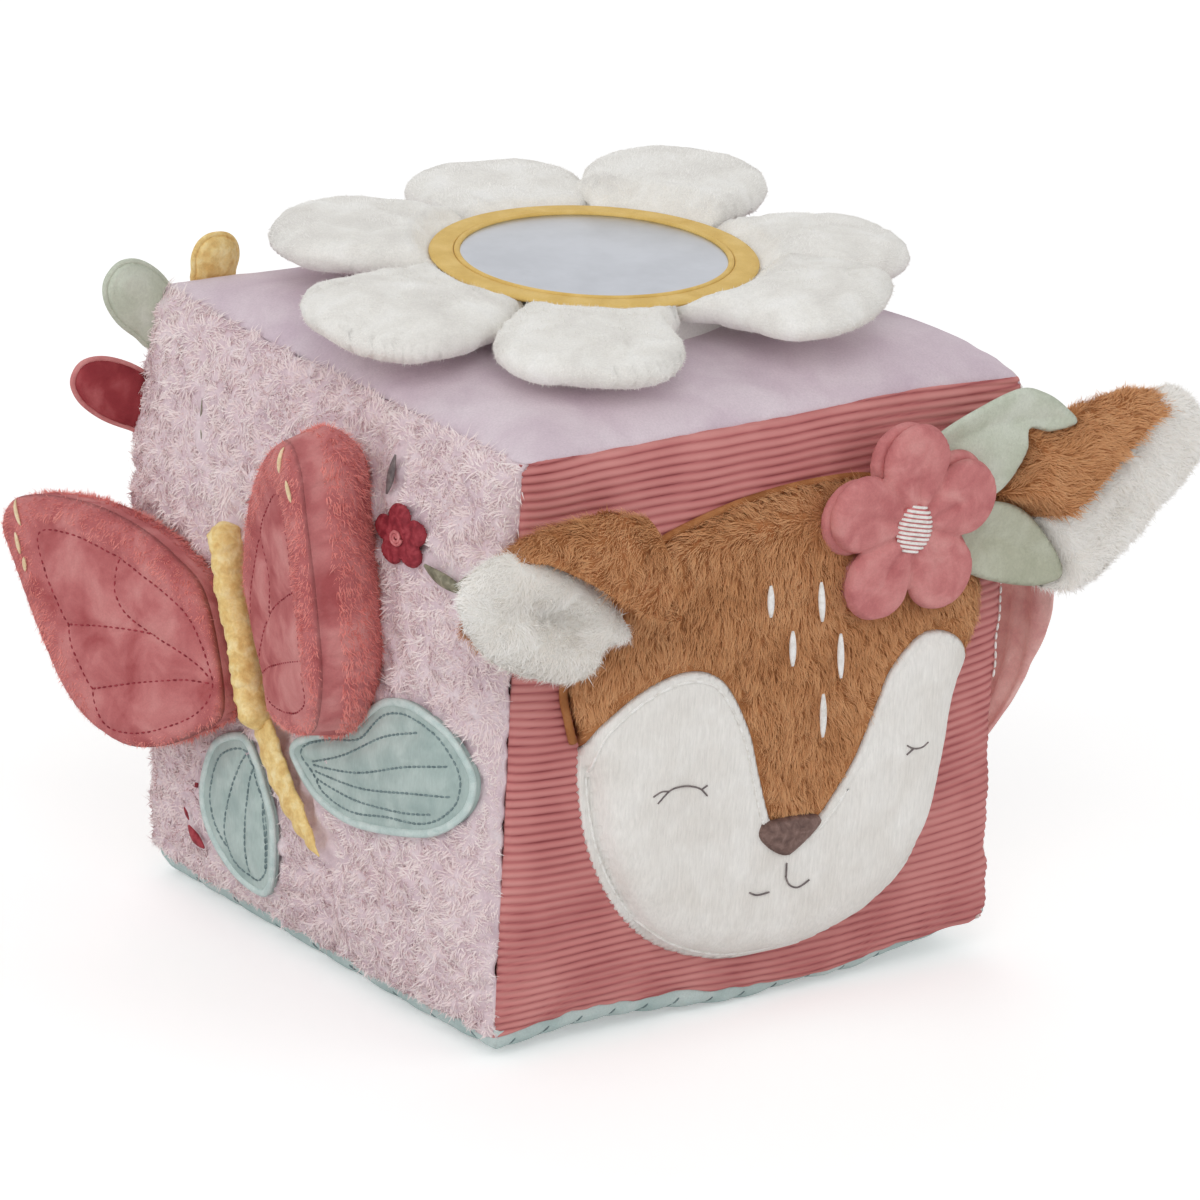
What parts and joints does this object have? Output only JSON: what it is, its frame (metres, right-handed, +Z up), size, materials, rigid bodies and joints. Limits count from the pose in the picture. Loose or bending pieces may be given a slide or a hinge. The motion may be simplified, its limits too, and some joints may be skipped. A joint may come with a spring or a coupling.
{
  "type": "soft fabric activity block",
  "caption": "Soft fabric activity cube with a daisy mirror on top, a butterfly, a fawn's head with free ears, fabric tabs and a side loop, round a rattle.",
  "frame": {"origin": "middle of the flat pressed area of the underside, where the cube stands", "axes": "+Z up towards the daisy mirror, -Y out of the fawn's face, -X out of the butterfly's face"},
  "size_m": [0.2439, 0.1936, 0.1793],
  "materials": {
    "lavender_velour": "short velour",
    "plush": "long curly plush",
    "corduroy": "ribbed corduroy",
    "aqua_quilting": "quilted jersey",
    "blush_velour": "short velour",
    "white_velour": "short velour",
    "filling": "soft foam and fibre",
    "rose": "short plush",
    "rose_velour": "embroidered velour",
    "mustard": "gathered velour",
    "wing_aqua": "quilted jersey",
    "fawn_brown": "short fur",
    "nose": "embroidered satin stitch",
    "sage": "felt",
    "dark_red": "velour",
    "mirror": "soft plastic mirror film",
    "gold_trim": "woven binding",
    "rattle_case": "plain",
    "bead": "smooth"
  },
  "bodies": {
    "block": {"filling_block": "filling", "pocket_plug": "filling", "rattle_case_lower": "rattle_case", "rattle_case_upper": "rattle_case", "top_panel": "lavender_velour", "front_panel": "corduroy", "left_panel": "plush", "right_panel": "blush_velour", "back_panel": "blush_velour", "base_panel": "aqua_quilting", "daisy_pad": "white_velour", "mirror": "mirror", "mirror_ring": "gold_trim", "butterfly_body": "mustard", "lower_wing_right": "wing_aqua", "lower_wing_left": "wing_aqua", "forehead": "fawn_brown", "face_patch": "white_velour", "nose": "nose", "leaf_upper": "sage", "leaf_lower": "sage", "flower_back": "rose", "flower_front": "rose_velour", "flower_eye": "white_velour"},
    "petal_1": {"daisy_petal_1": "white_velour"},
    "petal_2": {"daisy_petal_2": "white_velour"},
    "petal_3": {"daisy_petal_3": "white_velour"},
    "petal_4": {"daisy_petal_4": "white_velour"},
    "petal_5": {"daisy_petal_5": "white_velour"},
    "petal_6": {"daisy_petal_6": "white_velour"},
    "petal_7": {"daisy_petal_7": "white_velour"},
    "wing_left": {"upper_wing_left_front": "rose_velour", "upper_wing_left_back": "rose"},
    "wing_right": {"upper_wing_right_front": "rose_velour", "upper_wing_right_back": "rose"},
    "tail": {"butterfly_tail": "mustard"},
    "ear_left": {"left_ear_back": "fawn_brown", "left_ear_lining": "white_velour"},
    "ear_right": {"right_ear_back": "fawn_brown", "right_ear_lining": "white_velour"},
    "tab_mustard": {"mustard_tab": "mustard"},
    "tab_sage": {"sage_tab": "sage"},
    "tab_red": {"red_tab": "dark_red"},
    "loop": {"side_loop": "rose_velour"},
    "bead_1": {"rattle_bead_1": "bead"},
    "bead_2": {"rattle_bead_2": "bead"},
    "bead_3": {"rattle_bead_3": "bead"}
  },
  "joints": [
    {"name": "petal_1_flex", "type": "hinge", "parent": "block", "child": "petal_1", "pos_m": [-0.0271, 0.03117, 0.1724], "axis": [0.7547, 0.6561, 0], "range_deg": [0, 25], "stiffness_Nm_per_rad": 0.03},
    {"name": "petal_2_flex", "type": "hinge", "parent": "block", "child": "petal_2", "pos_m": [0.00929, 0.04024, 0.17096], "axis": [0.9744, -0.225, 0], "range_deg": [0, 25], "stiffness_Nm_per_rad": 0.03},
    {"name": "petal_3_flex", "type": "hinge", "parent": "block", "child": "petal_3", "pos_m": [0.03464, 0.02249, 0.17432], "axis": [0.5446, -0.8387, 0], "range_deg": [0, 25], "stiffness_Nm_per_rad": 0.03},
    {"name": "petal_4_flex", "type": "hinge", "parent": "block", "child": "petal_4", "pos_m": [0.03905, -0.01345, 0.1724], "axis": [-0.3256, -0.9455, 0], "range_deg": [0, 25], "stiffness_Nm_per_rad": 0.03},
    {"name": "petal_5_flex", "type": "hinge", "parent": "block", "child": "petal_5", "pos_m": [0.01547, -0.03829, 0.17432], "axis": [-0.9272, -0.3746, 0], "range_deg": [0, 25], "stiffness_Nm_per_rad": 0.03},
    {"name": "petal_6_flex", "type": "hinge", "parent": "block", "child": "petal_6", "pos_m": [-0.02428, -0.03341, 0.17], "axis": [-0.809, 0.5878, 0], "range_deg": [0, 25], "stiffness_Nm_per_rad": 0.03},
    {"name": "petal_7_flex", "type": "hinge", "parent": "block", "child": "petal_7", "pos_m": [-0.04099, -0.00503, 0.17024], "axis": [-0.1219, 0.9925, 0], "range_deg": [0, 25], "stiffness_Nm_per_rad": 0.03},
    {"name": "wing_left_lift", "type": "hinge", "parent": "block", "child": "wing_left", "pos_m": [-0.092, 0.02125, 0.08369], "axis": [0, 0.3746, 0.9272], "range_deg": [0, 40], "stiffness_Nm_per_rad": 0.03},
    {"name": "wing_right_lift", "type": "hinge", "parent": "block", "child": "wing_right", "pos_m": [-0.087, 0.01475, 0.08631], "axis": [0, -0.3746, -0.9272], "range_deg": [0, 40], "stiffness_Nm_per_rad": 0.03},
    {"name": "tail_lift", "type": "hinge", "parent": "block", "child": "tail", "pos_m": [-0.0885, 0.00769, 0.06296], "axis": [0, 0.9272, -0.3746], "range_deg": [0, 35], "stiffness_Nm_per_rad": 0.03},
    {"name": "ear_left_lift", "type": "hinge", "parent": "block", "child": "ear_left", "pos_m": [-0.042, -0.088, 0.124], "axis": [0, 0, 1], "range_deg": [0, 35], "stiffness_Nm_per_rad": 0.03},
    {"name": "ear_right_lift", "type": "hinge", "parent": "block", "child": "ear_right", "pos_m": [0.065, -0.0843, 0.119], "axis": [0, 0, -1], "range_deg": [0, 15], "stiffness_Nm_per_rad": 0.03},
    {"name": "tab_mustard_flex", "type": "hinge", "parent": "block", "child": "tab_mustard", "pos_m": [-0.06075, 0.075, 0.155], "axis": [1, 0, 0], "range_deg": [-15, 15], "stiffness_Nm_per_rad": 0.01},
    {"name": "tab_sage_flex", "type": "hinge", "parent": "block", "child": "tab_sage", "pos_m": [-0.075, 0.075, 0.146], "axis": [0, 0, 1], "range_deg": [-15, 15], "stiffness_Nm_per_rad": 0.01},
    {"name": "tab_red_flex", "type": "hinge", "parent": "block", "child": "tab_red", "pos_m": [-0.075, 0.075, 0.125], "axis": [0, 0, 1], "range_deg": [-15, 15], "stiffness_Nm_per_rad": 0.01},
    {"name": "loop_swing", "type": "hinge", "parent": "block", "child": "loop", "pos_m": [0.075, -0.062, 0.092], "axis": [0, 0, 1], "range_deg": [-10, 10], "stiffness_Nm_per_rad": 0.01},
    {"name": "bead_1_roll", "type": "slide", "parent": "block", "child": "bead_1", "axis": [0, 1, 0], "range_m": [-0.003, 0.004]},
    {"name": "bead_2_roll", "type": "slide", "parent": "block", "child": "bead_2", "axis": [-0.866, -0.5, 0], "range_m": [-0.003, 0.004]},
    {"name": "bead_3_roll", "type": "slide", "parent": "block", "child": "bead_3", "axis": [0.866, -0.5, 0], "range_m": [-0.003, 0.004]}
  ]
}
